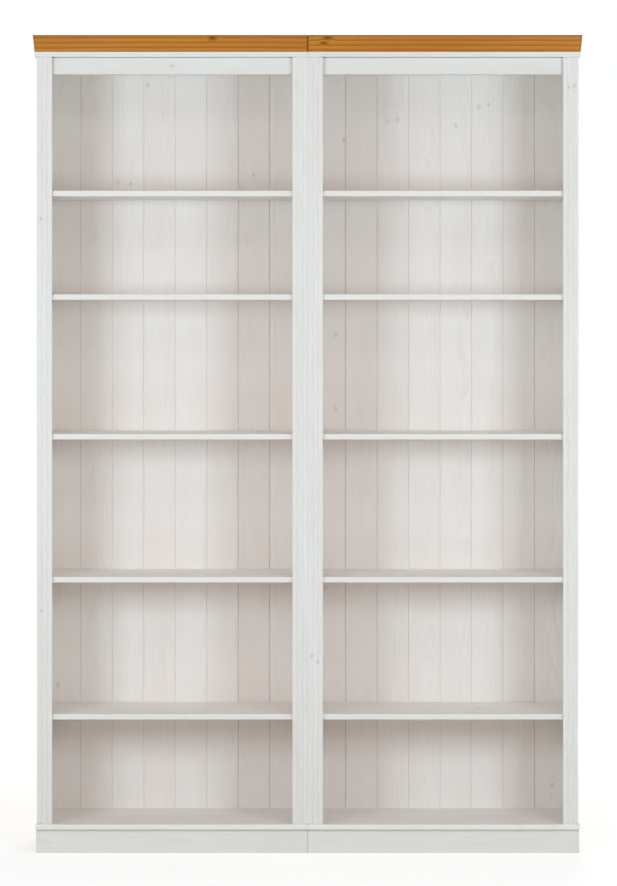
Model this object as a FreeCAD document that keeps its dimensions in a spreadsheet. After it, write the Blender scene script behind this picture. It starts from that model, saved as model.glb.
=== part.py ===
import FreeCAD, Part
import os
import re
import Sketcher

# A pair of mirrored open bookcases that stand side by side against a wall.
# Millimetres. Origin on the floor, where the joint between the units crosses the middle of the depth.
# +X runs to the right, +Y to the wall and +Z up.
SIZES = {
    # case
    "unit_width": 728,  # one unit over its two side panels
    "overall_height": 2200,
    "overall_depth": 290,  # from the wall to the top edge of the cornice
    "side_thickness": 18,
    "plinth_height": 64,
    "plinth_thickness": 18,
    "base_thickness": 15,
    "base_round": 4,
    "top_thickness": 13,
    "plinth_setback": 8,  # behind the fronts of the stiles
    "plinth_overhang": 3,  # plinth beyond the outer side
    "joint_gap": 0.4,  # relief at the front of the boards that meet at the joint between the units
    "joint_depth": 12,
    "board_overhang": 4,  # base and top boards in front of the stiles, base board beyond the outer side
    "top_overhang": 6,  # top board beyond the outer side
    "cornice_height": 45,
    "cornice_thickness": 22,
    "cornice_flare": 4,  # how far the cornice leans out from its foot to its top
    "stile_width": 41,
    "stile_thickness": 9,
    "stile_chamfer": 2.5,  # at its head and foot
    "stile_tongue_width": 6,  # tongue on the front edge of a side panel, which fills a groove in its stile
    "stile_tongue_depth": 3,
    "flute_width": 4.5,
    "flute_depth": 2.2,
    "frieze_height": 46,
    "frieze_thickness": 18,
    "frieze_setback": 3,  # behind the front edges of the side panels
    "frieze_groove_height": 1.6,  # shadow groove between the frieze rail and the top board
    "frieze_groove_depth": 6,
    "edge_ease": 1.5,  # radius of sanded edges
    # loose shelves, numbered from the top, by the height of their upper faces
    "shelf_level_1": 1783,
    "shelf_level_2": 1504,
    "shelf_level_3": 1128,
    "shelf_level_4": 743,
    "shelf_level_5": 374,
    "shelf_thickness": 15,
    "shelf_setback": 1,  # behind the rear faces of the stiles
    "shelf_end_gap": 1.5,
    "shelf_back_gap": 2,
    # tongued and grooved back boards in a rebate all round
    "back_count": 8,
    "back_thickness": 10,
    "back_setback": 2,  # from the wall
    "back_gap": 1,  # between the boarding and the edge of its rebate
    "side_rebate": 5,
    "end_rebate": 8,
    "back_shift": 4,  # joints between boards, outwards from even spacing
    "board_gap": 0.3,
    "face_chamfer": 1,
    "tongue_length": 4.5,
    "tongue_thickness": 3.4,
    "tongue_play": 0.25,
    # shelf pins and their holes
    "pin_diameter": 5,
    "pin_depth": 9,
    "pin_reach": 9,
    "pin_inset": 45,  # from the front and rear edges of the shelf
    "tab_width": 9,
    "tab_thickness": 3,
    "hole_pitch": 32,
    "hole_rows": 3,
    # fastenings
    "fit_play": 0.2,  # a hole is this much wider and deeper than what goes in
    "dowel_diameter": 8,
    "dowel_length": 32,
    "dowel_seat": 9,  # depth in the thinner of the two boards
    "dowel_inset": 30,  # dowels in the ends of the side panels
    "frame_inset": 55,  # dowels of the plinth sides and the cornice returns
    "screw_diameter": 5,
    "screw_length": 50,
    "screw_head_diameter": 10,
    "screw_head_height": 4,
    "screw_inset": 80,
    "nail_diameter": 1.6,
    "nail_length": 22,
    "nail_head_diameter": 3.4,
    "nail_head_height": 0.8,
    "nail_spread": 44,
    "connector_diameter": 8,
    "connector_screw_diameter": 5,
    "connector_head_diameter": 14,
    "connector_head_height": 2,
    "connector_slack": 2,  # room left between the end of a sleeve or screw and the head opposite
    "connector_inset": 25,
    "connector_rise": 200,
    "bracket_width": 20,
    "bracket_leg": 38,
    "bracket_thickness": 2,
    "bracket_hole_diameter": 5.5,
    "bracket_hole_offset": 25,  # from the corner of the bracket
    "bracket_spacing": 500,
    "bracket_screw_diameter": 4,
    "bracket_screw_length": 12,
    "bracket_screw_head_diameter": 8,
    "bracket_screw_head_height": 2.5,
}
SHELF_COUNT = 5
NEAR = 0.01  # edges closer than this to a face of a piece's box lie on it
UNITS = {"left": -1, "right": 1}
PLACES = ("inner", "outer")  # inner is at the joint between the units

# Levels from front to wall
WALL = "(overall_depth / 2)"
FRONT = "(-overall_depth / 2)"
BOARD_FRONT = f"({FRONT} + cornice_flare)"
STILE_FRONT = f"({BOARD_FRONT} + board_overhang)"
PLINTH_FRONT = f"({STILE_FRONT} + plinth_setback)"
CASE_FRONT = f"({STILE_FRONT} + stile_thickness)"
FRIEZE_FRONT = f"({CASE_FRONT} + frieze_setback)"
FRIEZE_MIDDLE = f"({FRIEZE_FRONT} + frieze_thickness / 2)"
BACK_REAR = f"({WALL} - back_setback)"
BACK_FACE = f"({BACK_REAR} - back_thickness)"
SHELF_FRONT = f"({CASE_FRONT} + shelf_setback)"
SHELF_REAR = f"({BACK_FACE} - shelf_back_gap)"

# Levels from floor to top
CASE_BOTTOM = "(plinth_height + base_thickness)"
TOP_UPPER = "(overall_height - cornice_height)"
CASE_TOP = f"({TOP_UPPER} - top_thickness)"

# Start and pitch of the row of back boards, measured across a unit
BACK_START = "(side_thickness - side_rebate + back_gap)"
BACK_PITCH = f"((unit_width - 2 * {BACK_START}) / back_count)"

# Widths and depths of holes
DOWEL_HOLE = "dowel_diameter + fit_play"
DOWEL_REST = "(dowel_length - dowel_seat)"
DOWEL_DEEP = f"{DOWEL_REST} + fit_play"
SCREW_HOLE = "screw_diameter + fit_play"
SCREW_HEAD_HOLE = "screw_head_diameter + fit_play"

# Rows of places shared by the pieces that meet there
SIDE_DOWELS = (f"{CASE_FRONT} + dowel_inset", f"{BACK_FACE} - dowel_inset")
FRAME_DOWELS = (f"{CASE_FRONT} + frame_inset", f"{BACK_FACE} - frame_inset")
SIDE_SCREWS = (f"{CASE_FRONT} + screw_inset", f"{BACK_FACE} - screw_inset")
PIN_ROWS = (f"{SHELF_FRONT} + pin_inset", f"{SHELF_REAR} - pin_inset")
FRONT_DOWELS = tuple(f"unit_width * {quarter} / 4" for quarter in (1, 2, 3))
FRIEZE_DOWELS = tuple(f"{CASE_TOP} - frieze_height * {third} / 3" for third in (1, 2))
CONNECTORS = tuple(
    (depth, height)
    for depth in (f"{CASE_FRONT} + connector_inset", f"{BACK_FACE} - connector_inset")
    for height in (f"{CASE_BOTTOM} + connector_rise", f"{CASE_TOP} - connector_rise")
)
BRACKETS = tuple(f"unit_width / 2 + {half} * bracket_spacing / 2" for half in (-1, 1))

# Sketch plane square to each axis, and the sense of its normal along that axis
PLANES = {"x": ("YZ_Plane", 1), "y": ("XZ_Plane", -1), "z": ("XY_Plane", 1)}

# Turns that point an upright fastening along another axis
UPWARD = FreeCAD.Rotation()
DOWNWARD = FreeCAD.Rotation(FreeCAD.Vector(1, 0, 0), 180)
TO_RIGHT = FreeCAD.Rotation(FreeCAD.Vector(0, 1, 0), 90)
TO_LEFT = FreeCAD.Rotation(FreeCAD.Vector(0, 1, 0), -90)
TO_FRONT = FreeCAD.Rotation(FreeCAD.Vector(1, 0, 0), 90)
HALF_TURN = FreeCAD.Rotation(FreeCAD.Vector(0, 0, 1), 180)

doc = FreeCAD.newDocument("bookcase_pair")
pieces = []


def fill_sheet():
    sheet = doc.addObject("Spreadsheet::Sheet", "Sizes")
    for row, (alias, number) in enumerate(SIZES.items(), start=1):
        sheet.set(f"A{row}", alias)
        sheet.set(f"B{row}", str(number))
        sheet.setAlias(f"B{row}", alias)
    doc.recompute()


def bind(thing, place, formula):
    # Every word with an underscore in a formula is the alias of a size.
    thing.setExpression(place, re.sub(r"\b[a-z]+_\w+", r"Sizes.\g<0>", formula))


# Places across a unit are measured from the joint between the units.
def mirrored(sign, place):
    return f"{sign} * ({place})"


def span(sign, near, far):
    if sign > 0:
        return near, far
    return f"-({far})", f"-({near})"


def from_end(place, distance):
    if place == "inner":
        return distance
    return f"unit_width - ({distance})"


def end_span(sign, place, width):
    if place == "inner":
        return span(sign, "0", width)
    return span(sign, f"unit_width - {width}", "unit_width")


def inward(sign, place):
    # Sign along x of the way from one end of a unit to its middle
    return sign if place == "inner" else -sign


def new_body(name):
    body = doc.addObject("PartDesign::Body", name)
    body.Label = name
    pieces.append(body)
    return body


def block(body, kind, name, across, along, upright):
    # Rectangular block, added or cut away, between two places on each axis
    feature = body.newObject(f"PartDesign::{kind}Box", name)
    sides = (("Length", "x", across), ("Width", "y", along), ("Height", "z", upright))
    for size, axis, (low, high) in sides:
        bind(feature, size, f"({high}) - ({low})")
        bind(feature, f"Placement.Base.{axis}", low)
    doc.recompute()


def board(name, across, along, upright):
    body = new_body(name)
    block(body, "Additive", f"{name}_blank", across, along, upright)
    return body


def new_sketch(body, name, axis, level):
    role, sense = PLANES[axis]
    plane = next(feature for feature in body.Origin.OriginFeatures if feature.Role == role)
    sketch = body.newObject("Sketcher::SketchObject", name)
    sketch.AttachmentSupport = [(plane, "")]
    sketch.MapMode = "FlatFace"
    bind(sketch, "AttachmentOffset.Base.z", f"{sense} * ({level})")
    return sketch


def fix_point(sketch, item, corner, place):
    for kind, formula in zip(("DistanceX", "DistanceY"), place):
        number = sketch.addConstraint(Sketcher.Constraint(kind, -1, 1, item, corner, 1.0))
        bind(sketch, f"Constraints[{number}]", formula)


def draw_circles(sketch, centres, diameter):
    for step, centre in enumerate(centres):
        start = FreeCAD.Vector(step, step, 0)
        circle = sketch.addGeometry(Part.Circle(start, FreeCAD.Vector(0, 0, 1), 1))
        fix_point(sketch, circle, 3, centre)
        number = sketch.addConstraint(Sketcher.Constraint("Diameter", circle, 1.0))
        bind(sketch, f"Constraints[{number}]", diameter)


def draw_outline(sketch, corners):
    # Closed line through the corners; it starts as a bow and its constraints pull it into place.
    count = len(corners)
    bow = [FreeCAD.Vector(step, step * step, 0) for step in range(count)]
    for step in range(count):
        sketch.addGeometry(Part.LineSegment(bow[step], bow[(step + 1) % count]))
    for step, corner in enumerate(corners):
        sketch.addConstraint(Sketcher.Constraint("Coincident", step, 2, (step + 1) % count, 1))
        fix_point(sketch, step, 1, corner)


def pad(body, name, axis, level, corners, length, heading):
    sketch = new_sketch(body, f"{name}_outline", axis, level)
    draw_outline(sketch, corners)
    feature = body.newObject("PartDesign::Pad", name)
    feature.Profile = sketch
    bind(feature, "Length", length)
    feature.Reversed = heading * PLANES[axis][1] < 0
    doc.recompute()


def cut(body, sketch, name, axis, depth, heading):
    # Pocket from the sketch along its axis; the heading is the sign of the way in.
    volume = body.Shape.Volume
    feature = body.newObject("PartDesign::Pocket", name)
    feature.Profile = sketch
    bind(feature, "Length", depth)
    feature.Reversed = heading * PLANES[axis][1] > 0
    doc.recompute()
    if body.Shape.Volume >= volume:
        raise RuntimeError(f"{name} removed nothing from {body.Label}")


def drill(body, name, axis, level, centres, diameter, depth, heading):
    full_name = f"{body.Label}_{name}"
    sketch = new_sketch(body, f"{full_name}_circles", axis, level)
    draw_circles(sketch, centres, diameter)
    cut(body, sketch, full_name, axis, depth, heading)


def ease(body, name, radius, chosen):
    base = body.Tip
    box = base.Shape.BoundBox
    numbered = enumerate(base.Shape.Edges, start=1)
    edges = [f"Edge{number}" for number, edge in numbered if chosen(edge.BoundBox, box)]
    feature = body.newObject("PartDesign::Fillet", f"{body.Label}_{name}")
    feature.Base = (base, edges)
    bind(feature, "Radius", radius)
    doc.recompute()


# Tests that pick edges by where they lie in the box of their piece
def at_front(edge, box):
    return edge.YMax < box.YMin + NEAR


def at_outer(edge, box, sign):
    if sign > 0:
        return edge.XMin > box.XMax - NEAR
    return edge.XMax < box.XMin + NEAR


def upright(edge):
    return edge.ZLength > max(edge.XLength, edge.YLength)


def relieve_joint(body, sign, front, height):
    # The boards of the two units touch behind this narrow cut, so that the joint is a clean dark line.
    across = span(sign, "0", "joint_gap")
    along = (front, f"{front} + joint_depth")
    block(body, "Subtractive", f"{body.Label}_joint_relief", across, along, height)


def make_side(unit, sign, place):
    across = end_span(sign, place, "side_thickness")
    height = (CASE_BOTTOM, CASE_TOP)
    body = board(f"{unit}_{place}_side", across, (CASE_FRONT, WALL), height)
    near = from_end(place, "side_thickness - side_rebate")
    far = from_end(place, "side_thickness")
    rebate = span(sign, near, far) if place == "inner" else span(sign, far, near)
    block(body, "Subtractive", f"{body.Label}_rebate", rebate, (BACK_FACE, WALL), height)
    middle = mirrored(sign, from_end(place, "side_thickness / 2"))
    tongue = (f"{middle} - stile_tongue_width / 2", f"{middle} + stile_tongue_width / 2")
    reach = (f"{CASE_FRONT} - stile_tongue_depth", CASE_FRONT)
    block(body, "Additive", f"{body.Label}_tongue", tongue, reach, height)
    inner_face = mirrored(sign, far)
    into_side = -inward(sign, place)
    for end, level, heading, board_thickness in (
        ("foot", CASE_BOTTOM, 1, "base_thickness"),
        ("head", CASE_TOP, -1, "top_thickness"),
    ):
        dowels = [(middle, depth) for depth in SIDE_DOWELS]
        screws = [(middle, depth) for depth in SIDE_SCREWS]
        reach = f"screw_length + screw_head_height - {board_thickness} + fit_play"
        drill(body, f"{end}_dowels", "z", level, dowels, DOWEL_HOLE, DOWEL_DEEP, heading)
        drill(body, f"{end}_screws", "z", level, screws, SCREW_HOLE, reach, heading)
    frieze_holes = [(FRIEZE_MIDDLE, level) for level in FRIEZE_DOWELS]
    drill(body, "frieze_dowels", "x", inner_face, frieze_holes, DOWEL_HOLE, "dowel_seat", into_side)
    pin_holes = []
    for number in range(1, SHELF_COUNT + 1):
        for row in range(SIZES["hole_rows"]):
            shift = row - (SIZES["hole_rows"] - 1) / 2
            pin_holes += [(depth, f"{pin_axis(number)} + {shift} * hole_pitch") for depth in PIN_ROWS]
    pin_hole = "pin_diameter + fit_play"
    drill(body, "pin_holes", "x", inner_face, pin_holes, pin_hole, "pin_depth + fit_play", into_side)
    if place == "inner":
        hole = "connector_diameter + fit_play"
        head = "connector_head_diameter + fit_play"
        drill(body, "connectors", "x", inner_face, CONNECTORS, hole, "side_thickness", into_side)
        drill(body, "connector_heads", "x", inner_face, CONNECTORS, head, "connector_head_height", into_side)


def make_stile(unit, sign, place):
    across = end_span(sign, place, "stile_width")
    body = board(f"{unit}_{place}_stile", across, (STILE_FRONT, CASE_FRONT), (CASE_BOTTOM, CASE_TOP))
    radius = "((flute_width ^ 2 / 4 + flute_depth ^ 2) / (2 * flute_depth))"
    flutes = []
    for third in (1, 2):
        middle = mirrored(sign, from_end(place, f"stile_width * {third} / 3"))
        flutes.append((middle, f"{STILE_FRONT} - {radius} + flute_depth"))
    flute_length = f"{CASE_TOP} - {CASE_BOTTOM}"
    drill(body, "flutes", "z", CASE_BOTTOM, flutes, f"2 * {radius}", flute_length, 1)

    def front_corner(edge, box):
        at_side = edge.XMax < box.XMin + NEAR or edge.XMin > box.XMax - NEAR
        return upright(edge) and at_front(edge, box) and at_side

    ease(body, "eased", "edge_ease", front_corner)
    for end, level, heading in (("foot", CASE_BOTTOM, 1), ("head", CASE_TOP, -1)):
        name = f"{body.Label}_{end}_chamfer"
        sketch = new_sketch(body, f"{name}_outline", "x", across[0])
        draw_outline(sketch, (
            (STILE_FRONT, level),
            (f"{STILE_FRONT} + stile_chamfer", level),
            (STILE_FRONT, f"{level} + {heading} * stile_chamfer"),
        ))
        cut(body, sketch, name, "x", "stile_width", 1)
    middle = mirrored(sign, from_end(place, "side_thickness / 2"))
    half = "(stile_tongue_width + fit_play) / 2"
    groove = (f"{middle} - {half}", f"{middle} + {half}")
    reach = (f"{CASE_FRONT} - stile_tongue_depth - fit_play", CASE_FRONT)
    block(body, "Subtractive", f"{body.Label}_groove", groove, reach, (CASE_BOTTOM, CASE_TOP))


def plinth_middle(place):
    if place == "inner":
        return "plinth_thickness / 2"
    return "unit_width + plinth_overhang - plinth_thickness / 2"


def make_base_board(unit, sign):
    across = span(sign, "0", "unit_width + board_overhang")
    height = ("plinth_height", CASE_BOTTOM)
    body = board(f"{unit}_base_board", across, (BOARD_FRONT, WALL), height)

    def free_edge(edge, box):
        front = at_front(edge, box) and not at_outer(edge, box, -sign)
        side = at_outer(edge, box, sign) and edge.YMin < box.YMax - NEAR
        return front or side

    ease(body, "rounded", "min(base_round; board_overhang)", free_edge)
    relieve_joint(body, sign, BOARD_FRONT, height)
    rebate = span(sign, "side_thickness - side_rebate", "unit_width - side_thickness + side_rebate")
    upper = (f"{CASE_BOTTOM} - end_rebate", CASE_BOTTOM)
    block(body, "Subtractive", f"{body.Label}_rebate", rebate, (BACK_FACE, WALL), upper)
    middles = [mirrored(sign, from_end(place, "side_thickness / 2")) for place in PLACES]
    plinth_middles = [mirrored(sign, plinth_middle(place)) for place in PLACES]
    dowels = [(middle, depth) for middle in middles for depth in SIDE_DOWELS]
    screws = [(middle, depth) for middle in middles for depth in SIDE_SCREWS]
    feet = [(middle, depth) for middle in plinth_middles for depth in FRAME_DOWELS]
    feet += [(mirrored(sign, quarter), f"{PLINTH_FRONT} + plinth_thickness / 2") for quarter in FRONT_DOWELS]
    drill(body, "side_dowels", "z", CASE_BOTTOM, dowels, DOWEL_HOLE, "dowel_seat", -1)
    drill(body, "plinth_dowels", "z", "plinth_height", feet, DOWEL_HOLE, "dowel_seat", 1)
    drill(body, "screws", "z", "plinth_height", screws, SCREW_HOLE, "base_thickness", 1)
    drill(body, "screw_heads", "z", "plinth_height", screws, SCREW_HEAD_HOLE, "screw_head_height", 1)


def make_top_board(unit, sign):
    across = span(sign, "0", "unit_width + top_overhang")
    height = (CASE_TOP, TOP_UPPER)
    body = board(f"{unit}_top_board", across, (BOARD_FRONT, WALL), height)
    ease(body, "eased", "edge_ease", lambda edge, box: (
        edge.ZMax < box.ZMin + NEAR and (at_front(edge, box) or at_outer(edge, box, sign))
    ))
    relieve_joint(body, sign, BOARD_FRONT, height)
    rebate = span(sign, "side_thickness - side_rebate", "unit_width - side_thickness + side_rebate")
    lower = (CASE_TOP, f"{CASE_TOP} + end_rebate")
    block(body, "Subtractive", f"{body.Label}_rebate", rebate, (BACK_FACE, WALL), lower)
    middles = [mirrored(sign, from_end(place, "side_thickness / 2")) for place in PLACES]
    dowels = [(middle, depth) for middle in middles for depth in SIDE_DOWELS]
    screws = [(middle, depth) for middle in middles for depth in SIDE_SCREWS]
    crown = cornice_dowels(sign)
    fixings = [(mirrored(sign, place), f"{WALL} - bracket_hole_offset") for place in BRACKETS]
    fixing_hole = "bracket_screw_diameter + fit_play"
    fixing_depth = "bracket_screw_length - bracket_thickness + fit_play"
    drill(body, "side_dowels", "z", CASE_TOP, dowels, DOWEL_HOLE, "dowel_seat", 1)
    drill(body, "cornice_dowels", "z", TOP_UPPER, crown, DOWEL_HOLE, "dowel_seat", -1)
    drill(body, "screws", "z", TOP_UPPER, screws, SCREW_HOLE, "top_thickness", -1)
    drill(body, "screw_heads", "z", TOP_UPPER, screws, SCREW_HEAD_HOLE, "screw_head_height", -1)
    drill(body, "bracket_screws", "z", TOP_UPPER, fixings, fixing_hole, fixing_depth, -1)


def make_frieze(unit, sign):
    across = span(sign, "side_thickness", "unit_width - side_thickness")
    along = (FRIEZE_FRONT, f"{FRIEZE_FRONT} + frieze_thickness")
    height = (f"{CASE_TOP} - frieze_height", CASE_TOP)
    body = board(f"{unit}_frieze_rail", across, along, height)
    ease(body, "eased", "edge_ease", lambda edge, box: at_front(edge, box) and edge.ZMax < box.ZMin + NEAR)
    groove = (FRIEZE_FRONT, f"{FRIEZE_FRONT} + frieze_groove_depth")
    upper = (f"{CASE_TOP} - frieze_groove_height", CASE_TOP)
    block(body, "Subtractive", f"{body.Label}_groove", across, groove, upper)
    holes = [(FRIEZE_MIDDLE, level) for level in FRIEZE_DOWELS]
    for place in PLACES:
        face = mirrored(sign, from_end(place, "side_thickness"))
        heading = inward(sign, place)
        drill(body, f"{place}_dowels", "x", face, holes, DOWEL_HOLE, DOWEL_DEEP, heading)


def make_plinth(unit, sign):
    along = (PLINTH_FRONT, f"{PLINTH_FRONT} + plinth_thickness")
    height = ("0", "plinth_height")
    across = span(sign, "0", "unit_width + plinth_overhang")
    body = board(f"{unit}_plinth_front", across, along, height)
    ease(body, "eased", "edge_ease", lambda edge, box: at_front(edge, box) and upright(edge))
    relieve_joint(body, sign, PLINTH_FRONT, height)
    holes = [(mirrored(sign, quarter), f"{PLINTH_FRONT} + plinth_thickness / 2") for quarter in FRONT_DOWELS]
    drill(body, "dowels", "z", "plinth_height", holes, DOWEL_HOLE, DOWEL_DEEP, -1)
    for place in PLACES:
        middle = mirrored(sign, plinth_middle(place))
        across = (f"{middle} - plinth_thickness / 2", f"{middle} + plinth_thickness / 2")
        body = board(f"{unit}_plinth_{place}_side", across, (along[1], WALL), height)
        holes = [(middle, depth) for depth in FRAME_DOWELS]
        drill(body, "dowels", "z", "plinth_height", holes, DOWEL_HOLE, DOWEL_DEEP, -1)


def cornice_dowels(sign):
    middle = f"{BOARD_FRONT} + cornice_thickness / 2"
    front = [(mirrored(sign, quarter), middle) for quarter in FRONT_DOWELS]
    return front + return_dowels(sign)


def return_dowels(sign):
    middle = mirrored(sign, "unit_width + top_overhang - cornice_thickness / 2")
    return [(middle, depth) for depth in FRAME_DOWELS]


def make_cornice(unit, sign):
    # Front and return lean out alike and meet in a mitre at the outer corner.
    foot = "unit_width + top_overhang"
    corner = f"({foot} + cornice_flare)"
    mitre = "(cornice_thickness + cornice_flare)"
    inner_line = f"{BOARD_FRONT} + cornice_thickness"
    body = new_body(f"{unit}_cornice_front")
    profile = (
        (BOARD_FRONT, TOP_UPPER),
        (FRONT, "overall_height"),
        (inner_line, "overall_height"),
        (inner_line, TOP_UPPER),
    )
    pad(body, f"{body.Label}_moulding", "x", "0", profile, corner, sign)
    sketch = new_sketch(body, f"{body.Label}_mitre_outline", "z", TOP_UPPER)
    draw_outline(sketch, (
        (mirrored(sign, corner), FRONT),
        (mirrored(sign, corner), f"{FRONT} + {mitre}"),
        (mirrored(sign, f"{corner} - {mitre}"), f"{FRONT} + {mitre}"),
    ))
    cut(body, sketch, f"{body.Label}_mitre", "z", "cornice_height", 1)
    ease(body, "eased", "edge_ease", lambda edge, box: (
        at_outer(edge, box, -sign) and edge.YMax < box.YMin + box.YLength / 2 and upright(edge)
    ))
    relieve_joint(body, sign, FRONT, (TOP_UPPER, "overall_height"))
    holes = cornice_dowels(sign)[:len(FRONT_DOWELS)]
    drill(body, "dowels", "z", TOP_UPPER, holes, DOWEL_HOLE, DOWEL_DEEP, 1)

    body = new_body(f"{unit}_cornice_return")
    profile = (
        (mirrored(sign, foot), TOP_UPPER),
        (mirrored(sign, corner), "overall_height"),
        (mirrored(sign, f"{foot} - cornice_thickness"), "overall_height"),
        (mirrored(sign, f"{foot} - cornice_thickness"), TOP_UPPER),
    )
    pad(body, f"{body.Label}_moulding", "y", FRONT, profile, "overall_depth", 1)
    sketch = new_sketch(body, f"{body.Label}_mitre_outline", "z", TOP_UPPER)
    draw_outline(sketch, (
        (mirrored(sign, corner), FRONT),
        (mirrored(sign, f"{corner} - {mitre}"), FRONT),
        (mirrored(sign, f"{corner} - {mitre}"), f"{FRONT} + {mitre}"),
    ))
    cut(body, sketch, f"{body.Label}_mitre", "z", "cornice_height", 1)
    drill(body, "dowels", "z", TOP_UPPER, return_dowels(sign), DOWEL_HOLE, DOWEL_DEEP, 1)


def make_shelf(unit, sign, number):
    across = span(sign, "side_thickness + shelf_end_gap", "unit_width - side_thickness - shelf_end_gap")
    body = board(f"{unit}_shelf_{number}", across, (SHELF_FRONT, SHELF_REAR), ("-shelf_thickness", "0"))
    ease(body, "eased", "edge_ease", lambda edge, box: at_front(edge, box) and not upright(edge))
    bind(body, "Placement.Base.z", f"shelf_level_{number}")


def make_back_board(unit, sign, number):
    # Board outline in plan from its left edge and face: a groove on the left and a tongue on the right,
    # both left off at the ends of the row.
    first = number == 1
    last = number == SIZES["back_count"]
    row_start, row_end = span(sign, BACK_START, f"unit_width - {BACK_START}")
    shift = mirrored(sign, "back_shift")
    near = row_start if first else f"{row_start} + {number - 1} * {BACK_PITCH} + {shift}"
    far = row_end if last else f"{row_start} + {number} * {BACK_PITCH} + {shift}"
    play = "board_gap / 2"
    right = f"({far}) - ({near}) - {play}"
    middle = "back_thickness / 2"
    face = [(f"{play} + face_chamfer", "0"), (f"{right} - face_chamfer", "0"), (right, "face_chamfer")]
    tongue = [
        (right, f"{middle} - tongue_thickness / 2"),
        (f"{right} + tongue_length", f"{middle} - tongue_thickness / 2"),
        (f"{right} + tongue_length", f"{middle} + tongue_thickness / 2"),
        (right, f"{middle} + tongue_thickness / 2"),
    ]
    rear = [(right, "back_thickness"), (play, "back_thickness")]
    groove = [
        (play, f"{middle} + tongue_thickness / 2 + tongue_play"),
        (f"{play} + tongue_length", f"{middle} + tongue_thickness / 2 + tongue_play"),
        (f"{play} + tongue_length", f"{middle} - tongue_thickness / 2 - tongue_play"),
        (play, f"{middle} - tongue_thickness / 2 - tongue_play"),
    ]
    if last:
        tongue = []
    if first:
        groove = []
    body = new_body(f"{unit}_back_board_{number}")
    length = f"{CASE_TOP} - {CASE_BOTTOM} + 2 * (end_rebate - back_gap)"
    outline = face + tongue + rear + groove + [(play, "face_chamfer")]
    pad(body, f"{body.Label}_profile", "z", "0", outline, length, 1)
    bind(body, "Placement.Base.x", near)
    bind(body, "Placement.Base.y", BACK_FACE)
    bind(body, "Placement.Base.z", f"{CASE_BOTTOM} - end_rebate + back_gap")


def pin_axis(number):
    return f"shelf_level_{number} - shelf_thickness - tab_thickness / 2"


# Patterns of the small hardware, each lying at the origin, and groups of placed copies
def cylinder(name, diameter, length, start="0"):
    rod = doc.addObject("Part::Cylinder", name)
    bind(rod, "Radius", f"({diameter}) / 2")
    bind(rod, "Height", length)
    bind(rod, "Placement.Base.z", start)
    return rod


def plate(name, length, width, height, corner):
    slab = doc.addObject("Part::Box", name)
    for size, formula in (("Length", length), ("Width", width), ("Height", height)):
        bind(slab, size, formula)
    for axis, formula in zip("xyz", corner):
        bind(slab, f"Placement.Base.{axis}", formula)
    return slab


def combine(kind, name, base, tool):
    result = doc.addObject(f"Part::{kind}", name)
    result.Base = base
    result.Tool = tool
    return result


def headed_rod(name, diameter, length, head_diameter, head_height):
    # Upright rod whose head hangs below the level where the rod starts
    shank = cylinder(f"{name}_shank", diameter, length)
    head = cylinder(f"{name}_head", head_diameter, head_height, f"-{head_height}")
    return combine("Fuse", f"{name}_pattern", shank, head)


def group(name, pattern, places):
    copies = []
    for number, (x, y, z, turn) in enumerate(places, start=1):
        copy = doc.addObject("App::Link", f"{name}_{number}")
        copy.LinkedObject = pattern
        copy.Placement = FreeCAD.Placement(FreeCAD.Vector(), turn)
        for axis, formula in zip("xyz", (x, y, z)):
            bind(copy, f"Placement.Base.{axis}", formula)
        copies.append(copy)
    compound = doc.addObject("Part::Compound", name)
    compound.Label = name
    compound.Links = copies
    doc.recompute()
    pieces.append(compound)


def make_shelf_pins():
    peg = cylinder("pin_peg", "pin_diameter", "pin_depth")
    peg.Placement.Rotation = TO_LEFT
    corner = ("0", "-tab_width / 2", "-tab_thickness / 2")
    tab = plate("pin_tab", "pin_reach", "tab_width", "tab_thickness", corner)
    pattern = combine("Fuse", "pin_pattern", peg, tab)
    places = []
    for sign in UNITS.values():
        for place in PLACES:
            face = mirrored(sign, from_end(place, "side_thickness"))
            turn = UPWARD if inward(sign, place) > 0 else HALF_TURN
            for number in range(1, SHELF_COUNT + 1):
                places += [(face, depth, pin_axis(number), turn) for depth in PIN_ROWS]
    group("shelf_pins", pattern, places)


def make_dowels():
    pattern = cylinder("dowel_pattern", "dowel_diameter", "dowel_length")
    places = []
    for sign in UNITS.values():
        for place in PLACES:
            middle = mirrored(sign, from_end(place, "side_thickness / 2"))
            foot = mirrored(sign, plinth_middle(place))
            face = mirrored(sign, from_end(place, "side_thickness"))
            heading = inward(sign, place)
            start = f"{face} - {heading} * dowel_seat"
            turn = TO_RIGHT if heading > 0 else TO_LEFT
            places += [(middle, depth, f"{CASE_BOTTOM} - dowel_seat", UPWARD) for depth in SIDE_DOWELS]
            places += [(middle, depth, f"{CASE_TOP} - {DOWEL_REST}", UPWARD) for depth in SIDE_DOWELS]
            places += [(foot, depth, f"plinth_height - {DOWEL_REST}", UPWARD) for depth in FRAME_DOWELS]
            places += [(start, FRIEZE_MIDDLE, height, turn) for height in FRIEZE_DOWELS]
        board_middle = f"{PLINTH_FRONT} + plinth_thickness / 2"
        for quarter in FRONT_DOWELS:
            x = mirrored(sign, quarter)
            places.append((x, board_middle, f"plinth_height - {DOWEL_REST}", UPWARD))
        places += [(x, y, f"{TOP_UPPER} - dowel_seat", UPWARD) for x, y in cornice_dowels(sign)]
    group("wood_dowels", pattern, places)


def make_case_screws():
    sizes = ("screw_diameter", "screw_length", "screw_head_diameter", "screw_head_height")
    pattern = headed_rod("screw", *sizes)
    places = []
    for sign in UNITS.values():
        for place in PLACES:
            middle = mirrored(sign, from_end(place, "side_thickness / 2"))
            for depth in SIDE_SCREWS:
                places.append((middle, depth, "plinth_height + screw_head_height", UPWARD))
                places.append((middle, depth, f"{TOP_UPPER} - screw_head_height", DOWNWARD))
    group("case_screws", pattern, places)


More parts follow.
